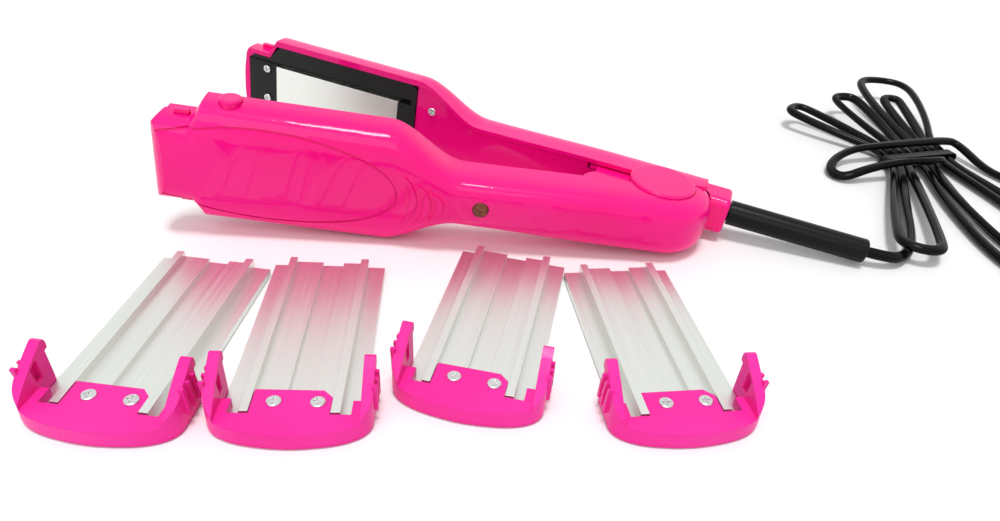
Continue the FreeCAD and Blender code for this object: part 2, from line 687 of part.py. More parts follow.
def release_button():
    """Push button, its retaining flange and the arm that carries the latch tooth, one moulding."""
    cap = oval(BUTTON_LONG, BUTTON_HIGH, -PADDLE_HALF - BUTTON_PROUD, BUTTON_SEAT)
    rim = [e for e in cap.Edges if abs(e.CenterOfMass.z + PADDLE_HALF + BUTTON_PROUD) < 0.01]
    cap = cap.makeFillet(1.1, rim)
    tall = (FRAME_FACE + FRAME_LAND + 0.4, TOOTH_HIGH + 0.8)
    flange = block((BUTTON_ALONG - 7.0, BUTTON_ALONG + 8.5), tall, (BUTTON_SEAT, BUTTON_SEAT + BUTTON_FLANGE))
    inner = PADDLE_SIDE_WALL + 1.1 - NOTCH_HALF
    arm = plan_prism([(BUTTON_ALONG + 6.0, BUTTON_SEAT + 0.4), (BUTTON_ALONG + 8.0, BUTTON_SEAT + 0.4),
                      (NOTCH_START - 1.0, BUTTON_SEAT + 1.6), (NOTCH_END - 0.6, inner), (TOOTH_END, inner),
                      (TOOTH_END, inner + 1.8), (NOTCH_END - 1.4, inner + 1.8),
                      (NOTCH_START - 3.0, BUTTON_SEAT + 3.6), (BUTTON_ALONG + 6.0, BUTTON_SEAT + 2.2)],
                     FLANGE_BACK + 0.3, TOOTH_HIGH + 1.2)
    tooth = side_prism([(TOOTH_START, TOOTH_LOW), (TOOTH_END, TOOTH_LOW), (TOOTH_END, TOOTH_HIGH),
                        (TOOTH_START, TOOTH_HIGH)], -NOTCH_HALF - TOOTH_PROUD, inner + 0.5)
    return fuse([cap, flange, arm, tooth])


def arc_through(start, tangent, end):
    """Arc that leaves start along tangent and ends at end, or a line where they are in line."""
    chord = end - start
    unit = V(chord.x, chord.y, chord.z).normalize()
    side = tangent - unit * tangent.dot(unit)
    if side.Length < 1e-6:
        return Part.makeLine(start, end)
    bend = math.atan2(side.Length, tangent.dot(unit))
    side.normalize()
    middle = (start + end) * 0.5 + side * (0.5 * chord.Length * math.tan(0.5 * bend))
    return Part.Arc(start, middle, end).toShape()


def biarc_path(points, tangents):
    """Smooth path of two arcs from each point to the next, along the given tangents."""
    edges = []
    for start, end, leave, arrive in zip(points, points[1:], tangents, tangents[1:]):
        gap = end - start
        total = leave + arrive
        lack = 2.0 * (1.0 - leave.dot(arrive))
        if lack < 1e-9:
            reach = gap.dot(gap) / (4.0 * gap.dot(leave))
        else:
            along = gap.dot(total)
            reach = (math.sqrt(along * along + lack * gap.dot(gap)) - along) / lack
        joint = (start + end + (leave - arrive) * reach) * 0.5
        edges.append(arc_through(start, leave, joint))
        middle = (joint - start).normalize()
        turned = middle * (2.0 * middle.dot(leave)) - leave
        edges.append(arc_through(joint, turned, end))
    return Part.Wire(edges)


def tube(path, start, tangent, radius):
    ring = Part.Wire([Part.makeCircle(radius, start, tangent)])
    return path.makePipeShell([ring], True, False)


def helix(radius, pitch, turns, wire_r, base, first_deg=0.0):
    """Coil about +Z through base, as one tube on quarter-turn biarcs."""
    points = []
    tangents = []
    for quarter in range(4 * turns + 1):
        angle = math.radians(first_deg + 90.0 * quarter)
        rise = pitch * quarter / 4.0
        points.append(base + V(radius * math.cos(angle), radius * math.sin(angle), rise))
        slope = pitch / (2.0 * math.pi * radius)
        tangent = V(-math.sin(angle), math.cos(angle), slope)
        tangents.append(tangent.normalize())
    return tube(biarc_path(points, tangents), points[0], tangents[0], wire_r)


def button_spring():
    gap_low = BUTTON_SEAT + BUTTON_FLANGE
    gap_high = -SLOT_OUT - CHANNEL_WALL
    wire_r = 0.5 * BUTTON_SPRING_WIRE
    room = gap_high - gap_low - BUTTON_SPRING_WIRE - 2.0 * SPRING_END_GAP
    base = at(BUTTON_ALONG, BUTTON_OUT, gap_low + wire_r + SPRING_END_GAP)
    return helix(BUTTON_SPRING_R, room / BUTTON_SPRING_TURNS, BUTTON_SPRING_TURNS, wire_r, base)


def rounded_path(points, share):
    """Straight runs joined by tangent arcs that take a share of the shorter run, and the first direction."""
    edges = []
    cursor = points[0]
    for before, corner, after in zip(points, points[1:], points[2:]):
        into = (corner - before).normalize()
        out = (after - corner).normalize()
        setback = share * min((corner - before).Length, (after - corner).Length)
        start = corner - into * setback
        edges.append(Part.makeLine(cursor, start))
        cursor = corner + out * setback
        edges.append(arc_through(start, into, cursor))
    edges.append(Part.makeLine(cursor, points[-1]))
    return Part.Wire(edges), (points[1] - points[0]).normalize()


def lead(points):
    path, way = rounded_path(points, LEAD_BEND_SHARE)
    return tube(path, points[0], way, LEAD_R)


def far_leads():
    top = CLAMP_BACK + 0.5 * CUTOUT_THICK
    start = CUTOUT_ALONG - 0.5 * CUTOUT_LONG
    route = [at(start, top, 0.0), at(start - 5.0, top, 0.0), at(POSTS_ALONG[0], top, LEAD_BESIDE_POST),
             at(140.0, top, 4.0), at(90.0, 19.0, 2.0), at(40.0, 19.5, 7.0), at(10.0, 19.8, 7.6),
             at(-12.0, 19.2, 6.0), at(-TAIL - 0.5, RELIEF_OUT, 2.0)]
    return lead(route)


def near_leads():
    top = CLAMP_BACK + 0.5 * CUTOUT_THICK
    start = CUTOUT_ALONG - 0.5 * CUTOUT_LONG
    route = [at(start, top, 0.0), at(start - 5.0, top, 0.0), at(POSTS_ALONG[0], top, LEAD_BESIDE_POST),
             at(140.0, top, 4.0), at(112.0, 14.5, 1.0), at(80.0, 12.0, 0.0), at(40.0, 13.0, 0.5),
             at(18.0, 12.5, 0.0)]
    return lead(route)


def cord_block():
    """Moulded block at the far arm's tail that holds the swivelling strain relief."""
    body = block((-BLOCK_END, -TAIL), (BLOCK_LOW, BLOCK_HIGH), (-BLOCK_HALF, BLOCK_HALF))
    long_edges = [e for e in body.Edges if abs(e.Vertexes[0].Point.x - e.Vertexes[1].Point.x) > 5.0]
    body = body.makeFillet(BLOCK_ROUND, long_edges)
    end_edges = [e for e in body.Edges if e.BoundBox.XMin > BLOCK_END - 0.01]
    body = body.makeFillet(BLOCK_END_ROUND, end_edges)
    body = body.cut(upright(BARREL_R + RUNNING_GAP, -40.0, 40.0))
    collar = RELIEF_COLLAR_R + 0.25
    cavity_end = BLOCK_END - BLOCK_WALL
    body = body.cut(along_rod(collar, cavity_end - RELIEF_COLLAR_THICK - 0.4, cavity_end))
    body = body.cut(along_rod(RELIEF_NECK_R + PIN_FIT, cavity_end - 1.0, BLOCK_END + 5.0))
    body = body.cut(along_rod(3.6, 0.0, cavity_end - 1.0))
    return body


def along_rod(radius, start, end):
    """Cylinder on the strain relief's axis, between two distances behind the hinge."""
    return Part.makeCylinder(radius, end - start, V(start, RELIEF_OUT, 0.0), X_AXIS)


def strain_relief():
    cavity_end = BLOCK_END - BLOCK_WALL
    collar = along_rod(RELIEF_COLLAR_R, cavity_end - RELIEF_COLLAR_THICK - 0.2, cavity_end - 0.2)
    neck = along_rod(RELIEF_NECK_R, cavity_end - 1.0, RELIEF_START + 1.0)
    foot = V(RELIEF_START, RELIEF_OUT, 0.0)
    sleeve = Part.makeCone(RELIEF_R, RELIEF_END_R, RELIEF_END - RELIEF_START, foot, X_AXIS)
    ends = [e for e in sleeve.Edges if e.Closed and e.CenterOfMass.x > RELIEF_END - 0.1]
    sleeve = sleeve.makeFillet(1.6, ends)
    body = fuse([collar, neck, sleeve])
    body = body.cut(along_rod(CORD_R + CORD_FIT, RELIEF_END - RELIEF_GRIP, RELIEF_END + 1.0))
    return body.cut(along_rod(RELIEF_HOLE_R, 0.0, RELIEF_END))


def hinge_pin():
    return upright(PIN_R, -PIN_HALF, PIN_HALF)


def hinge_cap(side):
    low, high = sorted((side * EAR_OUTER, side * (EAR_OUTER + CAP_THICK)))
    cap = upright(CAP_R, low, high)
    outer = side * (EAR_OUTER + CAP_THICK)
    edge = [e for e in cap.Edges if e.Closed and abs(e.CenterOfMass.z - outer) < 0.01]
    return cap.makeFillet(CAP_ROUND, edge)


def hinge_washers():
    rings = []
    for side in (1, -1):
        low, high = sorted((side * (KNUCKLE_HALF + 0.05), side * (KNUCKLE_HALF + 0.05 + WASHER_THICK)))
        rings.append(upright(WASHER_R, low, high).cut(upright(PIN_R + 0.02, low - 1.0, high + 1.0)))
    return Part.makeCompound(rings)


def hinge_spring():
    base = V(0.0, 0.0, 0.5 * SPRING_WIRE + SPRING_END_GAP)
    return helix(SPRING_R, SPRING_PITCH, SPRING_TURNS, 0.5 * SPRING_WIRE, base)


def indicator_lens():
    outer = HANDLE_TOP + 0.5
    lens = rod(LENS_R - 0.05, LAMP_ALONG, 0.0, HANDLE_TOP - TOP_WALL, outer)
    edge = [e for e in lens.Edges if e.Closed and abs(e.CenterOfMass.y - outer) < 0.01]
    lens = lens.makeFillet(0.9, edge)
    flange = rod(LENS_R + 1.2, LAMP_ALONG, 0.0, HANDLE_TOP - TOP_WALL - 1.6, HANDLE_TOP - TOP_WALL - 0.4)
    stem = rod(LENS_R - 0.05, LAMP_ALONG, 0.0, HANDLE_TOP - TOP_WALL - 1.0, HANDLE_TOP - 1.0)
    return fuse([lens, flange, stem])


def neon_lamp():
    out = HANDLE_TOP - TOP_WALL - 1.6 - 0.2 - LAMP_R
    lamp = Part.makeCylinder(LAMP_R, LAMP_LONG, at(LAMP_ALONG + 0.5 * LAMP_LONG, out, 0.0), X_AXIS)
    return lamp.makeFillet(1.2, [e for e in lamp.Edges if e.Closed])


def crimp_plate(waves):
    """Aluminium extrusion: crimping waves on its underside, two rails and two raised lands on its back."""
    pitch = 2.0 * PLATE_HALF / waves
    under = []
    quarter = 0.25 * pitch
    under.append((-PLATE_HALF, 0.5 * WAVE_DEEP))
    for index in range(waves):
        left = -PLATE_HALF + index * pitch
        under.append((left + quarter, WAVE_DEEP))
        under.append((left + 3.0 * quarter, 0.0))
    under.append((PLATE_HALF, 0.5 * WAVE_DEEP))
    land = FLANGE_TOP + PLATFORM
    floor = FLANGE_TOP + CHANNEL
    rail = FLANGE_TOP + RAIL_HIGH
    upper = [(PLATE_HALF, FLANGE_TOP), (RAIL_RIGHT[1], FLANGE_TOP), (RAIL_RIGHT[1], rail),
             (RAIL_RIGHT[0], rail), (RAIL_RIGHT[0], land), (CHANNEL_ACROSS[1], land),
             (CHANNEL_ACROSS[1], floor), (CHANNEL_ACROSS[0], floor), (CHANNEL_ACROSS[0], land),
             (RAIL_LEFT[1], land), (RAIL_LEFT[1], rail), (RAIL_LEFT[0], rail), (RAIL_LEFT[0], FLANGE_TOP),
             (-PLATE_HALF, FLANGE_TOP)]
    points = [V(u, -PLATE_UNDER_HOLDER, z) for u, z in under + upper]
    plate = face_of(points).extrude(V(0, PLATE_LONG + PLATE_UNDER_HOLDER, 0))
    holes = [Part.makeCylinder(SCREW_SHAFT_R + 0.1, 30.0, V(u, PLATE_SCREW_ALONG, -5.0), Z_AXIS)
             for u in PLATE_SCREWS_ACROSS]
    corner = V(-PLATE_HALF, -PLATE_UNDER_HOLDER, FLANGE_TOP)
    front = Part.makeBox(2 * PLATE_HALF, PLATE_UNDER_HOLDER, 20.0, corner)
    plate = plate.cut(front)
    for hole in holes:
        plate = plate.cut(hole)
    return plate


def box_uvz(u, v, z):
    return Part.makeBox(u[1] - u[0], v[1] - v[0], z[1] - z[0], V(u[0], v[0], z[0]))


def holder_outline(grow=0.0):
    """Plan of the plate holder: straight sides, round corners and a bowed front."""
    half = HOLDER_HALF + grow
    front = -HOLDER_FRONT - grow
    curve = Part.BSplineCurve()
    bow = [(half, 2.0), (half - 1.2, -2.4), (HOLDER_HALF - 7.9, front + 3.6),
           (HOLDER_HALF - 18.4, front + 0.9)]
    points = [(-u, v) for u, v in bow] + [(0.0, front)] + bow[::-1]
    curve.interpolate([V(u, v, 0) for u, v in points])
    back = FIN_BACK + 4.0
    corners = [V(half, 2.0, 0), V(half, back, 0), V(-half, back, 0), V(-half, 2.0, 0)]
    edges = [curve.toShape()] + [Part.makeLine(a, b) for a, b in zip(corners, corners[1:])]
    return Part.Face(Part.Wire(edges))


def fin_profile(points, low, high):
    """Solid over a (v, z) outline, between two places across the plate."""
    return face_of([V(low, v, z) for v, z in points]).extrude(V(high - low, 0, 0))


def plate_holder():
    """U-shaped moulding at the plate's end: bowed front, tongue over the plate, two hooked fins."""
    column = holder_outline().extrude(V(0, 0, FIN_HIGH + 2.0))
    inner = PLATE_HALF + TONGUE_GAP
    front = column.common(box_uvz((-40, 40), (-20, -0.5), (HOLDER_LOW, HOLDER_TOP)))
    front = front.cut(box_uvz((-inner, inner), (-PLATE_UNDER_HOLDER - 0.1, 5.0), (-1.0, FLANGE_TOP)))
    side = [(-9.5, HOLDER_LOW), (-9.0, 5.5), (-6.0, 9.0), (-1.0, 13.2), (5.0, 17.6), (10.0, 20.8),
            (FIN_BACK - 2.2, FIN_HIGH), (FIN_BACK - 0.7, FIN_HIGH - 0.4), (FIN_BACK, FIN_HIGH - 2.2),
            (FIN_BACK, FIN_HIGH - 4.4), (FIN_BACK - 1.6, FIN_HIGH - 4.9), (FIN_BACK - 1.0, 10.0),
            (FIN_BACK - 0.6, 4.0), (FIN_BACK - 1.2, HOLDER_LOW)]
    fins = [fin_profile(side, low, high).common(column) for low, high in ((-40.0, -inner), (inner, 40.0))]
    tongue_left = RAIL_LEFT[1] + TONGUE_GAP
    tongue_right = RAIL_RIGHT[0] - TONGUE_GAP
    plan = [(tongue_left, -3.0), (tongue_right, -3.0), (tongue_right, TONGUE_LONG - TONGUE_CHAMFER),
            (tongue_right - TONGUE_CHAMFER, TONGUE_LONG), (tongue_left, TONGUE_LONG)]
    outline = [V(u, v, HOLDER_LOW) for u, v in plan]
    tongue = face_of(outline).extrude(V(0, 0, HOLDER_TOP - HOLDER_LOW))
    land = FLANGE_TOP + PLATFORM
    tongue = tongue.cut(box_uvz((-40, 40), (-PLATE_UNDER_HOLDER - 0.1, 40), (-1.0, FLANGE_TOP + CHANNEL)))
    for low, high in ((-40.0, CHANNEL_ACROSS[0] + TONGUE_GAP), (CHANNEL_ACROSS[1] - TONGUE_GAP, 40.0)):
        tongue = tongue.cut(box_uvz((low, high), (-0.2, 40), (-1.0, land)))
    pieces = [front, tongue] + fins
    for low, high in ((-inner - 1.0, -TAB_INNER), (TAB_INNER, inner + 1.0)):
        pieces.append(box_uvz((low, high), (-1.0, TAB_LONG), (FLANGE_TOP, HOLDER_TOP)))
    holder = fuse(pieces)
    for low, high in ((-inner - POCKET_DEEP, -inner + 1.0), (inner - 1.0, inner + POCKET_DEEP)):
        pocket = [(4.6, 16.4), (8.6, 18.4), (9.4, 9.4), (6.2, 9.4)]
        holder = holder.cut(fin_profile(pocket, low, high))
    grown = holder_outline(RIB_PROUD).extrude(V(0, 0, 30.0))
    for lean in (3.2, 7.2, 11.2):
        rib = [(lean - 0.9, 18.2), (lean + 0.6, 18.2), (lean + 1.9, 12.0), (lean + 2.4, 5.6),
               (lean + 0.9, 5.6), (lean + 0.4, 12.0)]
        for low, high in ((-40.0, -HOLDER_HALF + 0.6), (HOLDER_HALF - 0.6, 40.0)):
            holder = holder.fuse(fin_profile(rib, low, high).common(grown))
    step = holder_outline(0.0).extrude(V(0, 0, 2.2)).cut(holder_outline(-0.35).extrude(V(0, 0, 2.2)))
    holder = holder.cut(step.common(box_uvz((-40, 40), (-20, 14.0), (0.0, 2.2))))
    for u in PLATE_SCREWS_ACROSS:
        foot = V(u, PLATE_SCREW_ALONG, -5.0)
        holder = holder.cut(Part.makeCylinder(SCREW_SHAFT_R + 0.1, 30.0, foot, Z_AXIS))
    return holder


def plate_screws():
    screws = []
    for u in PLATE_SCREWS_ACROSS:
        centre = V(u, PLATE_SCREW_ALONG, HOLDER_TOP)
        head = Part.makeCylinder(PLATE_SCREW_HEAD_R, PLATE_SCREW_HEAD_HIGH, centre, Z_AXIS)
        top = HOLDER_TOP + PLATE_SCREW_HEAD_HIGH
        head = head.makeFillet(0.5, [e for e in head.Edges if e.Closed and e.CenterOfMass.z > top - 0.1])
        foot = V(u, PLATE_SCREW_ALONG, WAVE_DEEP + 0.4)
        shaft = Part.makeCylinder(SCREW_SHAFT_R, HOLDER_TOP - WAVE_DEEP - 0.2, foot, Z_AXIS)
        screw = fuse([head, shaft])
        slot = 0.6 * PLATE_SCREW_HEAD_R
        for wide, tall in ((slot, CROSS_HALF), (CROSS_HALF, slot)):
            along = (PLATE_SCREW_ALONG - tall, PLATE_SCREW_ALONG + tall)
            screw = screw.cut(box_uvz((u - wide, u + wide), along, (top - 0.5, top + 1.0)))
        screws.append(screw)
    return Part.makeCompound(screws)


TABLE = FreeCAD.Placement()
TOOL = FreeCAD.Placement(V(HINGE_X, HINGE_Y, HINGE_HEIGHT), FreeCAD.Rotation(Z_AXIS, -TURN_DEG)).multiply(
    FreeCAD.Placement(V(0, 0, 0), FreeCAD.Rotation(Y_AXIS, TILT_DEG)))
FAR = TOOL.multiply(FreeCAD.Placement(V(0, 0, 0), FreeCAD.Rotation(Z_AXIS, -HALF_OPEN_DEG)))
NEAR = TOOL.multiply(FreeCAD.Placement(V(0, 0, 0), FreeCAD.Rotation(Z_AXIS, HALF_OPEN_DEG))).multiply(
    FreeCAD.Placement(V(0, 0, 0), FreeCAD.Rotation(X_AXIS, 180.0)))


def from_hinge(x, y, z):
    return V(HINGE_X + x, HINGE_Y + y, z)


def slot_place(slot, height=WAIST_HEIGHT):
    offset = (slot - 0.5 * (HANK_SLOTS - 1)) * SLOT_STEP
    turn = math.radians(SLOT_TURN_DEG)
    return from_hinge(HANK_X + offset * math.cos(turn), HANK_Y + offset * math.sin(turn), height)


def lobe_stations(first, last, tip, width):
    """Points and tangents of one lobe, from the waist out round its tip and back to the waist."""
    side = 1.0 if tip[1] > HANK_Y else -1.0
    leave = slot_place(first) + V(0, side * WAIST_LONG, 0)
    back = slot_place(last) + V(0, side * WAIST_LONG, 0)
    peak = from_hinge(*tip)
    middle = (leave + back) * 0.5
    out = V(peak.x - middle.x, peak.y - middle.y, 0).normalize()
    across = V(-out.y, out.x, 0)
    if across.dot(leave - back) < 0:
        across = across * -1.0
    rise = (peak.z - middle.z) / (peak - middle).Length
    lift = V(0, 0, 0.15 * (peak.z - middle.z))
    shoulder = peak - out * (0.62 * width) - lift
    half = middle + (shoulder - middle) * 0.5
    swell = 0.5 * width
    waist_dir = V(0, side, 0)
    lean = (out + V(0, 0, rise)).normalize()
    points = [leave, half + across * (0.8 * swell), shoulder + across * swell, peak,
              shoulder - across * swell, half - across * (0.8 * swell), back]
    tangents = [waist_dir, lean, lean, across * -1.0, lean * -1.0, lean * -1.0, waist_dir * -1.0]
    return points, tangents


def hank_stations():
    """Points and tangents of the whole hank, from its lead-in to its end beside the wrapped waist."""
    points = [from_hinge(*CORD_ROUTE[-1])]
    tangents = [(V(*CORD_ROUTE[-1]) - V(*CORD_ROUTE[-2])).normalize()]
    points.append(slot_place(LOBES[0][0]) - V(0, WAIST_LONG, 0))
    tangents.append(V(0, 1, 0))
    for first, last, tip, width in LOBES:
        lobe_points, lobe_tangents = lobe_stations(first, last, tip, width)
        points += lobe_points
        tangents += lobe_tangents
    turn = math.radians(SLOT_TURN_DEG)
    wrap = V(math.cos(turn), math.sin(turn), 0)
    points.append(slot_place(LOBES[-1][1]) - V(0, WAIST_LONG, 0))
    tangents.append(V(0, -1, 0))
    start = slot_place(-1.6, WRAP_HEIGHT) + V(0, WRAP_OFFSET, 0)
    end = slot_place(HANK_SLOTS - 0.2, WRAP_HEIGHT) + V(0, WRAP_OFFSET, 0)
    route = [points[-1]] + [from_hinge(*p) for p in CROSS_ROUTE] + [start]
    for before, here, after in zip(route, route[1:], route[2:]):
        points.append(here)
        tangents.append((after - before).normalize())
    points += [start, end, from_hinge(*HANK_LEAVE), from_hinge(*TAIL_ROUTE[0])]
    tail_way = V(*TAIL_ROUTE[1]) - V(*TAIL_ROUTE[0])
    tangents += [wrap, wrap, V(*HANK_LEAVE_WAY).normalize(), tail_way.normalize()]
    return points, tangents


def least_gap(path):
    """Least clear gap between parts of a tube's path that are not neighbours along it."""
    spacing = 2.0
    samples = path.discretize(Distance=spacing)
    apart = int(3.2 * 2.0 * CORD_R / spacing) + 2
    least = path.Length
    for index, point in enumerate(samples):
        for other in samples[index + apart:]:
            least = min(least, point.distanceToPoint(other))
    return least - 2.0 * CORD_R


def relief_place(distance):
    """Point on the strain relief's axis, at a distance behind the hinge."""
    return FAR.multVec(V(distance, RELIEF_OUT, 0.0))


def report_bends(name, path):
    radii = [round(e.Curve.Radius, 1) for e in path.Edges if hasattr(e.Curve, "Radius")]
    print(name, "length", round(path.Length, 1), "radii", radii)


def cord_stretch():
    """Cord from the strain relief to the hank."""
    start = relief_place(RELIEF_END - RELIEF_GRIP)
    first = relief_place(RELIEF_END - RELIEF_GRIP + CORD_STRAIGHT)
    path, way = rounded_path([start, first] + [from_hinge(*p) for p in CORD_ROUTE], BEND_SHARE)
    report_bends("cord", path)
    return tube(path, start, way, CORD_R)


def cord_hank():
    points, tangents = hank_stations()
    path = biarc_path(points, tangents)
    print("hank length", round(path.Length), "least gap", round(least_gap(path), 2))
    return tube(path, points[0], tangents[0], CORD_R)


def cord_tail():
    """Cord from the hank to the plug."""
    points = [from_hinge(*p) for p in TAIL_ROUTE]
    path, way = rounded_path(points, BEND_SHARE)
    report_bends("tail", path)
    return tube(path, points[0], way, CORD_R)


def cord_tie():
    """Flat tie round all the strands at the waist of the hank."""
    turn = math.radians(SLOT_TURN_DEG)
    high = CORD_R + TIE_FIT
    strands = 0.5 * (HANK_SLOTS - 1) * SLOT_STEP + CORD_R / math.cos(turn)
    reach = strands + 0.5 * TIE_WIDE * math.tan(turn) + TIE_FIT

    def band(grow):
        tall = high + grow
        flat = reach - high
        body = Part.makeBox(2.0 * flat, TIE_WIDE, 2.0 * tall, V(-flat, 0, -tall))
        ends = [Part.makeCylinder(tall, TIE_WIDE, V(side * flat, 0, 0), Y_AXIS) for side in (-1, 1)]
        return fuse([body] + ends)

    ring = band(TIE_THICK).cut(band(0.0))
    ring.translate(V(0, -0.5 * TIE_WIDE, 0))
    ring.rotate(V(0, 0, 0), Z_AXIS, SLOT_TURN_DEG)
    ring.translate(from_hinge(HANK_X, HANK_Y + TIE_OFFSET, WAIST_HEIGHT))
    return ring


def plug():
    """Two-blade plug, from its sleeve at the cord to the tips of the blades."""
    body = Part.makeBox(PLUG_LONG, PLUG_WIDE, PLUG_THICK, V(PLUG_SLEEVE, -0.5 * PLUG_WIDE, -0.5 * PLUG_THICK))
    long_edges = [e for e in body.Edges if abs(e.Vertexes[0].Point.x - e.Vertexes[1].Point.x) > 5.0]
    body = body.makeFillet(3.6, long_edges)
    body = body.makeFillet(2.0, [e for e in body.Edges if e.BoundBox.XMax < PLUG_SLEEVE + 0.01])
    sleeve = Part.makeCone(PLUG_SLEEVE_END_R, PLUG_SLEEVE_R, PLUG_SLEEVE + 1.0, V(0, 0, 0), X_AXIS)
    pieces = [body, sleeve]
    for side in (-1, 1):
        pieces.append(Part.makeBox(BLADE_LONG + 2.0, BLADE_THICK, BLADE_HIGH,
                                   V(PLUG_SLEEVE + PLUG_LONG - 2.0, 0.5 * (side * BLADE_SPREAD - BLADE_THICK),
                                     -0.5 * BLADE_HIGH)))
    return fuse(pieces)


def plug_place():
    last = from_hinge(*TAIL_ROUTE[-1])
    way = last - from_hinge(*TAIL_ROUTE[-2])
    return FreeCAD.Placement(last, FreeCAD.Rotation(Z_AXIS, math.degrees(math.atan2(way.y, way.x))))


def write(name, shape, placement):
    placed = shape.copy()
    placed.Placement = placement.multiply(placed.Placement)
    solids = placed.Solids
    if not placed.isValid():
        print("NOT VALID", name)
    print(name, len(solids), "solids", round(sum(s.Volume for s in solids)), "mm3")
    placed.exportStep("parts/" + name + ".step")


def main():
    os.makedirs("parts", exist_ok=True)
    body = shell_body()
    write("near_shell", make_near_shell(body), NEAR)
    write("far_shell", make_far_shell(body), FAR)
    arm_pieces = {
        "heater_frame": heater_frame(),
        "heater_plate": heater_plate(),
        "heater_element": heater_element(),
        "mica_sheet": heater_mica(),
        "heater_clamp": heater_clamp(),
        "thermal_cutout": thermal_cutout(),
        "frame_screws": frame_screws(),
        "cover_screws": cover_screws(),
        "release_button": release_button(),
        "button_spring": button_spring(),
    }
    for side, place in (("near", NEAR), ("far", FAR)):
        for name, piece in arm_pieces.items():
            write(side + "_" + name, piece, place)
    write("near_inner_cover", inner_cover(NEAR_COVER_START), NEAR)
    write("far_inner_cover", inner_cover(FAR_COVER_START), FAR)
    write("near_leads", near_leads(), NEAR)
    write("far_leads", far_leads(), FAR)
    write("hinge_pin", hinge_pin(), NEAR)
    write("hinge_cap_top", hinge_cap(-1), NEAR)
    write("hinge_cap_bottom", hinge_cap(1), NEAR)
    write("hinge_washers", hinge_washers(), NEAR)
    write("hinge_spring", hinge_spring(), FAR)
    write("indicator_lens", indicator_lens(), NEAR)
    write("neon_lamp", neon_lamp(), NEAR)
    write("cord_block", cord_block(), FAR)
    write("strain_relief", strain_relief(), FAR)
    write("cord", cord_stretch(), TABLE)
    write("cord_hank", cord_hank(), TABLE)
    write("cord_tail", cord_tail(), TABLE)
    write("cord_tie", cord_tie(), TABLE)
    write("plug", plug(), plug_place())
    holder = plate_holder()
    screws = plate_screws()
    for name, x, y, turn, waves in PLATE_SPOTS:
        spot = FreeCAD.Placement(V(HINGE_X + x, HINGE_Y + y, 0.0), FreeCAD.Rotation(Z_AXIS, turn))
        write(name, crimp_plate(waves), spot)
        write(name + "_holder", holder, spot)
        write(name + "_screws", screws, spot)


main()
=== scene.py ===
import json
import math

import bpy
from mathutils import Matrix, Quaternion, Vector


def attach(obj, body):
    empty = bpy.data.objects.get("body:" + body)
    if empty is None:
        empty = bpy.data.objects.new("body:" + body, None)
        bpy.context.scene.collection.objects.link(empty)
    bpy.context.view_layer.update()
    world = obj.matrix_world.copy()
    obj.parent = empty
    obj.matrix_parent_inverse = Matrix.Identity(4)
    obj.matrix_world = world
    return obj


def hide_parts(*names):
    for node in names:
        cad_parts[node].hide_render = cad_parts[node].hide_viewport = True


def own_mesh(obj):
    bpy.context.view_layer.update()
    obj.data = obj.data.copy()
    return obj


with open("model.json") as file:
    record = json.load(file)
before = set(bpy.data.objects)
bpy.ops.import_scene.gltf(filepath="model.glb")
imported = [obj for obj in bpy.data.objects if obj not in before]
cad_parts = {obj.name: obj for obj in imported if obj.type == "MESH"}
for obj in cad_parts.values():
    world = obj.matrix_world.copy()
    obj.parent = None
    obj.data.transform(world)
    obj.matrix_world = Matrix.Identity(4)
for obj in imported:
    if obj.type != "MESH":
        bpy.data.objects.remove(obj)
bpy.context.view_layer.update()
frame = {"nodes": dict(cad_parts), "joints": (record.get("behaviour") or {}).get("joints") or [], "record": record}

MM = 0.001
UP = Vector((0.0, 0.0, 1.0))

# Place of the tool on the table, as the frame has it
HINGE = Vector((67.29, 41.23, 17.72)) * MM
TURN_DEG = 6.41
TILT_DEG = 5.28
HALF_OPEN_DEG = 9.13

# Camera of the photograph
CAMERA_FROM_HINGE = Vector((-77.38, -342.21, 0.0)) * MM
CAMERA_HEIGHT = 202.95 * MM
CAMERA_DOWN_DEG = 33.377
CAMERA_ROLL_DEG = 4.476
CAMERA_LENS = 27.14
SENSOR = 36.0
CLIP_START = 0.01
CLIP_END = 20.0


def add_object(name, data):
    thing = bpy.data.objects.new(name, data)
    bpy.context.scene.collection.objects.link(thing)
    return thing


def add_mesh(name, verts, faces):
    mesh = bpy.data.meshes.new(name)
    mesh.from_pydata([tuple(v) for v in verts], [], faces)
    mesh.update()
    return add_object(name, mesh)


def place_camera():
    data = bpy.data.cameras.new("camera")
    data.lens = CAMERA_LENS
    data.sensor_width = SENSOR
    data.clip_start = CLIP_START
    data.clip_end = CLIP_END
    camera = add_object("camera", data)
    down = math.radians(CAMERA_DOWN_DEG)
    roll = math.radians(CAMERA_ROLL_DEG)
    ahead = Vector((0.0, math.cos(down), -math.sin(down)))
    up = Vector((0.0, math.sin(down), math.cos(down)))
    right = Vector((1.0, 0.0, 0.0))
    rolled_right = right * math.cos(roll) + up * math.sin(roll)
    rolled_up = up * math.cos(roll) - right * math.sin(roll)
    turn = Matrix((rolled_right, rolled_up, -ahead)).transposed()
    place = Vector((HINGE.x, HINGE.y, CAMERA_HEIGHT)) + CAMERA_FROM_HINGE
    camera.matrix_world = Matrix.Translation(place) @ turn.to_4x4()
    bpy.context.scene.camera = camera


place_camera()

# Cord: the same points as the frame's tubes, in millimetres on the table from the hinge axis
CORD_FROM = 103.5
CORD_STRAIGHT = 16.5
RELIEF_OUT = 18.2
CORD_ROUTE = ((131.5, -6.3, 4.0), (140.9, 8.0, 3.0), (148.4, 27.5, 3.0), (154.6, 47.5, 3.0))

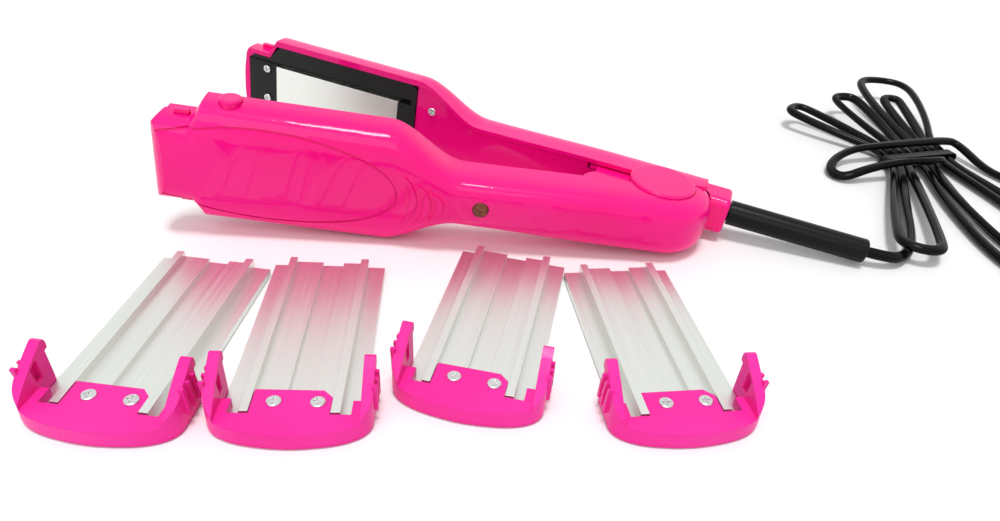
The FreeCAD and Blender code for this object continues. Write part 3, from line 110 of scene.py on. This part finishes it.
# Bundle: its lobes leave the waist at numbered slots, and one wrap goes round the waist
HANK_X = 190.4
HANK_Y = 124.5
HANK_SLOTS = 8
SLOT_STEP = 6.9
SLOT_TURN_DEG = 20.0
WAIST_LONG = 12.0
WAIST_HEIGHT = 4.1
WRAP_OFFSET = 6.5
WRAP_HEIGHT = 10.4
WRAP_SLOTS = (-1.6, HANK_SLOTS - 0.2)

# Each lobe: slot it leaves from, slot it comes back to, its tip and its width
LOBES = (
    (1, 0, (121.4, 173.0, 12.5), 17.0),
    (0, 2, (138.4, -6.5, 9.4), 21.6),
    (2, 3, (166.0, 202.0, 13.0), 18.0),
    (3, 7, (214.0, -22.0, 3.0), 56.0),
    (7, 4, (207.4, 240.0, 15.0), 38.0),
    (4, 6, (212.4, 4.0, 3.0), 32.0),
    (6, 5, (203.4, 207.0, 13.0), 12.0),
)

# Shape of a lobe near its tip, as shares of its width, and of half its width for the swells
SHOULDER_BACK = 0.62
CORNER_BACK = 0.08
TIP_OUT = 0.06
HALF_SWELL = 0.8
SHOULDER_SWELL = 1.02
CORNER_SWELL = 0.86
SHOULDER_LOW = 0.15
START_SHARE = 0.15

# Stretch that crosses to the wrap, and the tail from the wrap to the plug
CROSS_ROUTE = ((198.4, 104.0, 11.0), (186.4, 99.0, 12.0), (165.0, 94.0, 12.0), (145.0, 88.0, 8.5),
               (130.0, 83.0, 3.5), (124.0, 91.0, 3.2), (129.0, 104.0, 5.0), (142.0, 114.0, 8.5))
TAIL_ROUTE = ((224.4, 138.0, 8.2), (226.4, 132.0, 7.2), (232.4, 115.0, 3.0), (239.0, 101.4, 3.0),
              (247.9, 88.0, 3.0), (257.9, 77.0, 4.2), (264.9, 66.0, 6.6), (269.4, 55.0, 6.6))


def arm_turn(half_open):
    turn = Matrix.Rotation(math.radians(-TURN_DEG), 3, "Z")
    tilt = Matrix.Rotation(math.radians(TILT_DEG), 3, "Y")
    return turn @ tilt @ Matrix.Rotation(math.radians(half_open), 3, "Z")


FAR_TURN = arm_turn(-HALF_OPEN_DEG)


def on_far_arm(x, y, z):
    """Point given in millimetres from the hinge axis, along and across the far arm."""
    return HINGE + FAR_TURN @ (Vector((x, y, z)) * MM)


def relief_place(distance):
    """Point on the strain relief's axis, at a distance behind the hinge."""
    return on_far_arm(distance, RELIEF_OUT, 0.0)


def on_table(x, y, z):
    return Vector((HINGE.x + x * MM, HINGE.y + y * MM, z * MM))


def slot_place(slot, height=WAIST_HEIGHT):
    offset = (slot - 0.5 * (HANK_SLOTS - 1)) * SLOT_STEP
    turn = math.radians(SLOT_TURN_DEG)
    return on_table(HANK_X + offset * math.cos(turn), HANK_Y + offset * math.sin(turn), height)


def waist_end(slot, side):
    """Point of a slot at the waist's upper (1) or lower (-1) end."""
    return slot_place(slot) + Vector((0.0, side * WAIST_LONG * MM, 0.0))


def lobe_points(first, last, tip, width):
    """Control points of one lobe, out from the waist, round its tip and back."""
    side = 1.0 if tip[1] > HANK_Y else -1.0
    leave = waist_end(first, side)
    back = waist_end(last, side)
    inward = Vector((0.0, 0.5 * side * WAIST_LONG * MM, 0.0))
    peak = on_table(*tip)
    middle = (leave + back) * 0.5
    out = Vector((peak.x - middle.x, peak.y - middle.y, 0.0)).normalized()
    across = Vector((-out.y, out.x, 0.0))
    if across.dot(leave - back) < 0.0:
        across = -across
    lift = Vector((0.0, 0.0, SHOULDER_LOW * (peak.z - middle.z)))
    swell = 0.5 * width * MM
    shoulder = peak - out * (SHOULDER_BACK * width * MM) - lift
    half = middle + (shoulder - middle) * 0.5
    corner = peak - out * (CORNER_BACK * width * MM)
    sides = ((half, HALF_SWELL), (shoulder, SHOULDER_SWELL), (corner, CORNER_SWELL))
    points = [leave - inward, leave + (half - leave) * START_SHARE]
    points += [point + across * (share * swell) for point, share in sides]
    points.append(peak + out * (TIP_OUT * width * MM))
    points += [point - across * (share * swell) for point, share in reversed(sides)]
    points += [back + (half - back) * START_SHARE, back - inward]
    return points


def cord_points():
    points = [relief_place(CORD_FROM), relief_place(CORD_FROM + CORD_STRAIGHT)]
    points += [on_table(*p) for p in CORD_ROUTE]
    points.append(waist_end(LOBES[0][0], -1.0))
    for lobe in LOBES:
        points += lobe_points(*lobe)
    points.append(waist_end(LOBES[-1][1], -1.0))
    points += [on_table(*p) for p in CROSS_ROUTE]
    for slot in WRAP_SLOTS:
        points.append(slot_place(slot, WRAP_HEIGHT) + Vector((0.0, WRAP_OFFSET * MM, 0.0)))
    points += [on_table(*p) for p in TAIL_ROUTE]
    return points


LINE_DETAIL = 14
RING_STEP = 2.0 * MM
TINY = 1e-9


def spline_line(points):
    """Points along a smooth line that the control points pull towards themselves."""
    data = bpy.data.curves.new("line", "CURVE")
    data.dimensions = "3D"
    spline = data.splines.new("NURBS")
    spline.points.add(len(points) - 1)
    for target, point in zip(spline.points, points):
        target.co = (point.x, point.y, point.z, 1.0)
    spline.order_u = 3
    spline.use_endpoint_u = True
    spline.resolution_u = LINE_DETAIL
    holder = bpy.data.objects.new("line", data)
    mesh = bpy.data.meshes.new_from_object(holder)
    line = [v.co.copy() for v in mesh.vertices]
    bpy.data.objects.remove(holder)
    bpy.data.meshes.remove(mesh)
    return line


def line_length(line):
    return sum((b - a).length for a, b in zip(line, line[1:]))


def even_line(line, step):
    """The same line with points a step apart."""
    total = line_length(line)
    count = max(2, round(total / step))
    step = total / count
    points = [line[0].copy()]
    walked = 0.0
    target = step
    for a, b in zip(line, line[1:]):
        run = (b - a).length
        while run > 0.0 and walked + run >= target - TINY and len(points) < count:
            points.append(a.lerp(b, (target - walked) / run))
            target += step
        walked += run
    points.append(line[-1].copy())
    return points


# The section's up side leans back towards the vertical by this share at each ring, unless the line is steep
UPRIGHT_SHARE = 0.1
STEEP = 0.2


def sweep(name, line, section, roll):
    """Mesh tube along a line: the section's (across, up) points, turned by roll(share) about the line."""
    ways = []
    for index in range(len(line)):
        a = line[max(0, index - 1)]
        b = line[min(len(line) - 1, index + 1)]
        ways.append((b - a).normalized())
    up = (UP - ways[0] * UP.dot(ways[0])).normalized()
    verts = []
    for index, (point, way) in enumerate(zip(line, ways)):
        if index:
            up = ways[index - 1].rotation_difference(way) @ up
            lean = UP - way * way.z
            if lean.length > STEEP:
                up = up * (1.0 - UPRIGHT_SHARE) + lean.normalized() * UPRIGHT_SHARE
            up = (up - way * up.dot(way)).normalized()
        high = Quaternion(way, roll(index / (len(line) - 1))) @ up
        wide = high.cross(way)
        verts += [point + wide * x + high * y for x, y in section]
    size = len(section)
    faces = []
    for ring in range(len(line) - 1):
        for side in range(size):
            a = ring * size + side
            b = ring * size + (side + 1) % size
            faces.append((a, b, b + size, a + size))
    faces.append(tuple(range(size))[::-1])
    faces.append(tuple(range((len(line) - 1) * size, len(line) * size)))
    piece = add_mesh(name, verts, faces)
    for polygon in piece.data.polygons:
        polygon.use_smooth = len(polygon.vertices) == 4
    return piece


# The flex is flat: two cores side by side with a groove between them, and it twists slowly both ways
CORE_R = 2.2 * MM
CORE_APART = 0.75 * MM
CORE_STEPS = 9
TWISTS = ((0.5, 61.0, 0.0), (0.45, 23.0, 1.0))


def flex_section():
    points = []
    reach = math.pi - math.acos(CORE_APART / CORE_R)
    for side in (1.0, -1.0):
        for step in range(CORE_STEPS + 1):
            turn = -reach + 2.0 * reach * step / CORE_STEPS
            x = CORE_APART + CORE_R * math.cos(turn)
            y = CORE_R * math.sin(turn)
            points.append((side * x, side * y))
    return points


def flex_roll(share):
    return sum(most * math.sin(rate * share + start) for most, rate, start in TWISTS)


cord_line = even_line(spline_line(cord_points()), RING_STEP)
cord = sweep("power_cord", cord_line, flex_section(), flex_roll)
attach(cord, "far_arm")
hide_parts("cord", "cord_hank", "cord_tail")

# Ear of the near arm as it reaches into the far handle, in millimetres from the hinge axis:
# its outline along and across the far arm, and its lower and upper face
EAR_OUTLINE = ((-38.3, 7.0), (-38.3, 4.6), (-34.5, 4.6), (-34.0, -1.0), (-17.0, -1.0), (-17.0, 8.0))
EAR_LOW = 8.7
EAR_HIGH = 11.0


def make_ear():
    verts = [on_far_arm(x, y, height) for height in (EAR_LOW, EAR_HIGH) for x, y in EAR_OUTLINE]
    count = len(EAR_OUTLINE)
    faces = [tuple(range(count))[::-1], tuple(range(count, 2 * count))]
    faces += [(i, (i + 1) % count, count + (i + 1) % count, count + i) for i in range(count)]
    piece = add_mesh("near_ear", verts, faces)
    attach(piece, "near_arm")
    return piece


ear = make_ear()


# Materials
NOISE_LOW = 0.15
NOISE_HIGH = 0.85
EDGE_SAMPLES = 4
COAT_ROUGHNESS = 0.03
COLOUR_DETAIL = 1.0
GRAIN_DETAIL = 4.0
BRUSH_DETAIL = 2.0
PLASTIC_BUMP = 0.25
METAL_BUMP = 0.2
METAL_EDGE = 0.0002
ROUGH_VARY = 0.1


def new_material(name):
    material = bpy.data.materials.new(name)
    material.use_nodes = True
    nodes = material.node_tree.nodes
    return material, nodes, material.node_tree.links, nodes["Principled BSDF"]


def noise(nodes, links, scale, detail, stretch=(1.0, 1.0, 1.0), turn=0.0):
    """Noise in the piece's own coordinates, turned about z, with features of about 1 / scale metres."""
    source = nodes.new("ShaderNodeTexCoord").outputs["Object"]
    if turn:
        swing = nodes.new("ShaderNodeVectorRotate")
        swing.rotation_type = "Z_AXIS"
        swing.inputs["Angle"].default_value = turn
        links.new(source, swing.inputs["Vector"])
        source = swing.outputs["Vector"]
    mapping = nodes.new("ShaderNodeMapping")
    mapping.inputs["Scale"].default_value = stretch
    links.new(source, mapping.inputs["Vector"])
    texture = nodes.new("ShaderNodeTexNoise")
    texture.inputs["Scale"].default_value = scale
    texture.inputs["Detail"].default_value = detail
    links.new(mapping.outputs["Vector"], texture.inputs["Vector"])
    return texture.outputs["Fac"]


def ramp(nodes, links, source, low, high):
    """Maps a noise value softly onto a range."""
    node = nodes.new("ShaderNodeMapRange")
    node.interpolation_type = "SMOOTHERSTEP"
    node.inputs["From Min"].default_value = NOISE_LOW
    node.inputs["From Max"].default_value = NOISE_HIGH
    node.inputs["To Min"].default_value = low
    node.inputs["To Max"].default_value = high
    links.new(source, node.inputs["Value"])
    return node.outputs["Result"]


def tint(nodes, links, source, dark, light):
    """Colour between dark and light, by a noise value."""
    node = nodes.new("ShaderNodeMix")
    node.data_type = "RGBA"
    node.inputs["A"].default_value = (*dark, 1.0)
    node.inputs["B"].default_value = (*light, 1.0)
    links.new(ramp(nodes, links, source, 0.0, 1.0), node.inputs["Factor"])
    return node.outputs["Result"]


def bump(nodes, links, source, strength, distance, edge=0.0):
    """Fine relief from a noise value, over edges that are shaded round where edge gives a radius."""
    node = nodes.new("ShaderNodeBump")
    node.inputs["Strength"].default_value = strength
    node.inputs["Distance"].default_value = distance
    links.new(source, node.inputs["Height"])
    if edge:
        bevel = nodes.new("ShaderNodeBevel")
        bevel.samples = EDGE_SAMPLES
        bevel.inputs["Radius"].default_value = edge
        links.new(bevel.outputs["Normal"], node.inputs["Normal"])
    return node.outputs["Normal"]


def finish_material(name, colour_from, dark, light, fine_from, rough, vary, relief):
    """Material whose roughness and relief follow one noise, and its colour another, or the same if None."""
    material, nodes, links, shader = new_material(name)
    fine = noise(nodes, links, *fine_from)
    broad = noise(nodes, links, *colour_from) if colour_from else fine
    links.new(tint(nodes, links, broad, dark, light), shader.inputs["Base Color"])
    roughness = ramp(nodes, links, fine, rough * (1.0 - vary), rough * (1.0 + vary))
    links.new(roughness, shader.inputs["Roughness"])
    links.new(bump(nodes, links, fine, *relief), shader.inputs["Normal"])
    return material, shader


def plastic(name, dark, light, rough, coat=0.0, grain=900.0, depth=0.00003, edge=0.0, gloss=0.5, spread=18.0):
    """Moulded plastic: a faint broad change of colour, and a fine grain in the roughness and the relief."""
    material, shader = finish_material(name, (spread, COLOUR_DETAIL), dark, light, (grain, GRAIN_DETAIL),
                                       rough, ROUGH_VARY, (PLASTIC_BUMP, depth, edge))
    shader.inputs["Coat Weight"].default_value = coat
    shader.inputs["Coat Roughness"].default_value = COAT_ROUGHNESS
    shader.inputs["Specular IOR Level"].default_value = gloss
    return material


def brushed(name, dark, light, rough, per_x, per_yz, turn=0.0, depth=0.00001, vary=0.15):
    """Metal with fine lines, from noise with per_x features a metre along x and per_yz along y and z."""
    lines = (1.0, BRUSH_DETAIL, (per_x, per_yz, per_yz), turn)
    material, shader = finish_material(name, None, dark, light, lines, rough, vary,
                                       (METAL_BUMP, depth, METAL_EDGE))
    shader.inputs["Metallic"].default_value = 1.0
    return material


pink = plastic("pink_gloss", (0.91, 0.002, 0.205), (0.95, 0.003, 0.245),
               rough=0.30, coat=0.42, grain=700.0, depth=0.00001, edge=0.0006, gloss=0.05)
holder_pink = plastic("holder_pink", (0.88, 0.022, 0.31), (0.92, 0.034, 0.37),
                      rough=0.34, coat=0.1, grain=700.0, depth=0.00001, edge=0.0005, gloss=0.1)
black = plastic("black_satin", (0.012, 0.012, 0.012), (0.020, 0.020, 0.021),
                rough=0.42, grain=2200.0, depth=0.00008, edge=0.0004, gloss=0.2)
rubber = plastic("black_gloss", (0.003, 0.003, 0.003), (0.006, 0.006, 0.006),
                 rough=0.28, coat=0.05, edge=0.0005, gloss=0.12)
flex = plastic("flex_gloss", (0.002, 0.002, 0.002), (0.004, 0.004, 0.004),
               rough=0.2, coat=0.1, grain=500.0, depth=0.00001, gloss=0.05)
steel = brushed("bright_steel", (0.62, 0.62, 0.62), (0.74, 0.74, 0.75),
                rough=0.18, per_x=900.0, per_yz=900.0)
heater = brushed("heater_metal", (0.80, 0.83, 0.78), (0.84, 0.87, 0.82),
                 rough=0.34, turn=math.radians(TURN_DEG), per_x=30.0, per_yz=2600.0)
lens = plastic("amber_lens", (0.08, 0.008, 0.006), (0.24, 0.05, 0.018),
               rough=0.2, coat=0.12, gloss=0.25, spread=700.0)
white_ceramic = plastic("ceramic", (0.74, 0.73, 0.68), (0.82, 0.81, 0.77), rough=0.5)
mica = plastic("mica_flake", (0.45, 0.36, 0.22), (0.62, 0.52, 0.34), rough=0.35, grain=400.0)
glass = plastic("lamp_glass", (0.6, 0.45, 0.35), (0.7, 0.55, 0.45), rough=0.1)
lead = plastic("lead_sleeve", (0.75, 0.75, 0.72), (0.85, 0.85, 0.82), rough=0.6, grain=3000.0)

# The lines of each crimping plate run along it, as it lies turned on the table
PLATE_TURNS = {"plate_a": -3.35, "plate_b": 4.76, "plate_c": -8.70, "plate_d": 10.55}
plates = {
    node: brushed(node + "_metal", (0.71, 0.74, 0.70), (0.75, 0.78, 0.74), rough=0.38,
                  turn=math.radians(-degrees), per_x=900.0, per_yz=12.0, depth=0.000004, vary=0.06)
    for node, degrees in PLATE_TURNS.items()
}

LOOKS = {
    "pink_plastic": pink,
    "black_frame": black,
    "heater_aluminium": heater,
    "screw_steel": steel,
    "spring_steel": steel,
    "heating_ceramic": white_ceramic,
    "mica": mica,
    "cutout_case": white_ceramic,
    "lead_insulation": lead,
    "amber_lens": lens,
    "lamp_glass": glass,
    "cord_black": flex,
    "tie_black": rubber,
    "black_plastic": rubber,
}


def dress(piece, material):
    piece.data.materials.clear()
    piece.data.materials.append(material)


for subpart in frame["record"]["subparts"]:
    node = subpart["node"]
    own = holder_pink if node.endswith("_holder") else plates.get(node)
    dress(frame["nodes"][node], own or LOOKS[subpart["material_slot"]])
dress(cord, flex)
dress(ear, pink)

# Each button's spring gets a mesh of its own
for joint in frame["joints"]:
    if joint["name"].endswith("_button_press"):
        spring = frame["nodes"][joint["name"].replace("_press", "_spring")]
        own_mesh(spring)


# Table and light
TABLE_REACH = 6.0
TABLE_COLOUR = (0.93, 0.93, 0.93, 1.0)
TABLE_ROUGHNESS = 0.5
WHITE = (1.0, 1.0, 1.0, 1.0)
WORLD_LEVEL = 0.50
SUN_FROM = (0.02, -0.12, 1.0)
SUN_LEVEL = 1.7
SUN_WIDTH_DEG = 15.0
PANEL_PLACE = (-0.3, -0.9, 0.9)
PANEL_SIZE = (1.2, 0.8)
PANEL_POWER = 4.5


def seen_directly(nodes, links):
    """One for the rays that show a background: camera, glossy and transmission rays."""
    rays = nodes.new("ShaderNodeLightPath")
    total = rays.outputs["Is Camera Ray"]
    for kind in ("Is Glossy Ray", "Is Transmission Ray"):
        either = nodes.new("ShaderNodeMath")
        either.operation = "MAXIMUM"
        links.new(total, either.inputs[0])
        links.new(rays.outputs[kind], either.inputs[1])
        total = either.outputs[0]
    return total


def make_table():
    corners = [(x * TABLE_REACH, y * TABLE_REACH, 0.0) for x, y in ((-1, -1), (1, -1), (1, 1), (-1, 1))]
    table = add_mesh("table", corners, [(0, 1, 2, 3)])
    material, _, _, shader = new_material("table_white")
    shader.inputs["Base Color"].default_value = TABLE_COLOUR
    shader.inputs["Roughness"].default_value = TABLE_ROUGHNESS
    dress(table, material)


def make_world():
    world = bpy.data.worlds.new("studio")
    bpy.context.scene.world = world
    world.use_nodes = True
    nodes = world.node_tree.nodes
    links = world.node_tree.links
    background = nodes["Background"]
    level = nodes.new("ShaderNodeMix")
    level.data_type = "FLOAT"
    level.inputs["A"].default_value = WORLD_LEVEL
    level.inputs["B"].default_value = 1.0
    links.new(seen_directly(nodes, links), level.inputs["Factor"])
    background.inputs["Color"].default_value = WHITE
    links.new(level.outputs["Result"], background.inputs["Strength"])


def add_light(name, kind, shines_from, energy):
    """Lamp that shines from the given direction towards the origin."""
    data = bpy.data.lights.new(name, kind)
    data.energy = energy
    light = add_object(name, data)
    light.rotation_euler = (-Vector(shines_from)).to_track_quat("-Z", "Y").to_euler()
    return light


make_table()
make_world()
sun = add_light("key", "SUN", SUN_FROM, SUN_LEVEL)
sun.data.angle = math.radians(SUN_WIDTH_DEG)
panel = add_light("front", "AREA", PANEL_PLACE, PANEL_POWER)
panel.data.shape = "RECTANGLE"
panel.data.size, panel.data.size_y = PANEL_SIZE
panel.location = PANEL_PLACE

bpy.context.scene.view_settings.view_transform = "Standard"
